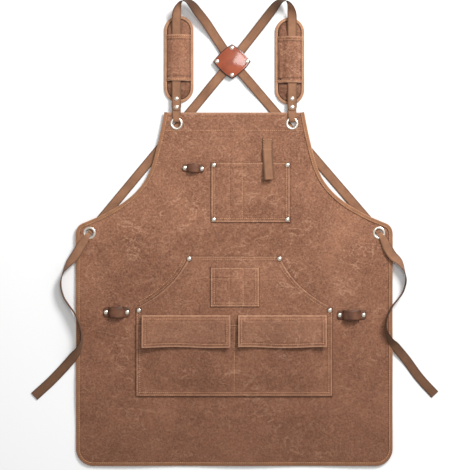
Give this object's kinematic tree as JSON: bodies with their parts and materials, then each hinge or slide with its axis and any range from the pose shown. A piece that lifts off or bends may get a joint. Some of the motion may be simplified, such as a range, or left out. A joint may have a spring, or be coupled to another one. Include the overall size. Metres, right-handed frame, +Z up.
{
  "type": "welding apron",
  "caption": "Waxed canvas bib apron with a cross-back harness, padded shoulder straps, riveted pockets, flaps and tool loops, lying flat with its free ties at the sides.",
  "frame": {"origin": "centre of the apron's footprint without its free ties, on the surface it lies on", "axes": "+X across the apron to the right as seen from above, +Y from the hem towards the bib and harness, +Z up out of the face that carries the pockets"},
  "size_m": [0.8752, 1.003, 0.0318],
  "materials": {
    "canvas": "waxed canvas, brown, with pale creases and a fine grain",
    "binding_tape": "folded canvas tape, orange tan, matt",
    "strap_webbing": "flat woven webbing, tan, lengthwise ribs",
    "loop_leather": "brown leather, worn edges",
    "patch_leather": "glossy red-brown leather with dark painted edges",
    "nickel": "bright nickel plate"
  },
  "bodies": {
    "apron": {"apron_panel": "canvas", "armhole_binding_left": "binding_tape", "armhole_binding_right": "binding_tape", "bib_facing": "canvas", "bib_grommet_left_eyelet": "nickel", "bib_grommet_left_washer": "nickel", "bib_grommet_right_eyelet": "nickel", "bib_grommet_right_washer": "nickel", "bib_loop_left": "strap_webbing", "bib_loop_right": "strap_webbing", "chest_pocket_panel": "canvas", "chest_rivet_1": "nickel", "chest_rivet_2": "nickel", "chest_rivet_3": "nickel", "chest_rivet_4": "nickel", "chest_tab_base": "strap_webbing", "hammer_loop": "loop_leather", "hammer_loop_rivet_1": "nickel", "hammer_loop_rivet_2": "nickel", "harness_strap_left": "strap_webbing", "harness_strap_right": "strap_webbing", "lower_pocket_panel": "canvas", "pen_pocket_panel": "canvas", "pliers_loop": "loop_leather", "pliers_loop_rivet_1": "nickel", "pliers_loop_rivet_2": "nickel", "pouch_panel": "canvas", "pouch_rivet_1": "nickel", "pouch_rivet_2": "nickel", "pouch_rivet_3": "nickel", "pouch_rivet_4": "nickel", "screwdriver_loop": "loop_leather", "screwdriver_loop_rivet_1": "nickel", "screwdriver_loop_rivet_2": "nickel", "side_grommet_left_eyelet": "nickel", "side_grommet_left_washer": "nickel", "side_grommet_right_eyelet": "nickel", "side_grommet_right_washer": "nickel", "skirt_binding": "binding_tape", "strap_rivet_left_1": "nickel", "strap_rivet_left_2": "nickel", "strap_rivet_right_1": "nickel", "strap_rivet_right_2": "nickel", "tie_left": "strap_webbing", "tie_right": "strap_webbing"},
    "flap_left": {"pocket_flap_left": "canvas"},
    "flap_right": {"pocket_flap_right": "canvas"},
    "tab": {"chest_tab": "strap_webbing"},
    "pad_left": {"shoulder_pad_left": "canvas", "shoulder_pad_left_binding": "binding_tape", "shoulder_pad_left_sleeve": "canvas"},
    "pad_right": {"shoulder_pad_right": "canvas", "shoulder_pad_right_binding": "binding_tape", "shoulder_pad_right_sleeve": "canvas"},
    "cross_patch": {"cross_patch_back": "loop_leather", "cross_patch_front": "patch_leather", "cross_patch_rivet_1": "nickel", "cross_patch_rivet_2": "nickel", "cross_patch_rivet_3": "nickel", "cross_patch_rivet_4": "nickel"}
  },
  "joints": [
    {"name": "flap_left_hinge", "type": "hinge", "parent": "apron", "child": "flap_left", "pos_m": [0, -0.18578, 0.0178], "axis": [-1, 0, 0], "range_deg": [0, 165]},
    {"name": "flap_right_hinge", "type": "hinge", "parent": "apron", "child": "flap_right", "pos_m": [0, -0.18578, 0.0178], "axis": [-1, 0, 0], "range_deg": [0, 165]},
    {"name": "chest_tab_hinge", "type": "hinge", "parent": "apron", "child": "tab", "pos_m": [0, 0.17452, 0.0119], "axis": [-1, 0, 0], "range_deg": [0, 160]},
    {"name": "pad_left_slide", "type": "slide", "parent": "apron", "child": "pad_left", "axis": [0, 1, 0], "range_m": [-0.006, 0.015]},
    {"name": "pad_right_slide", "type": "slide", "parent": "apron", "child": "pad_right", "axis": [0, 1, 0], "range_m": [-0.002, 0.015]},
    {"name": "cross_patch_slide", "type": "slide", "parent": "apron", "child": "cross_patch", "axis": [0, 1, 0], "range_m": [-0.008, 0.008]}
  ]
}
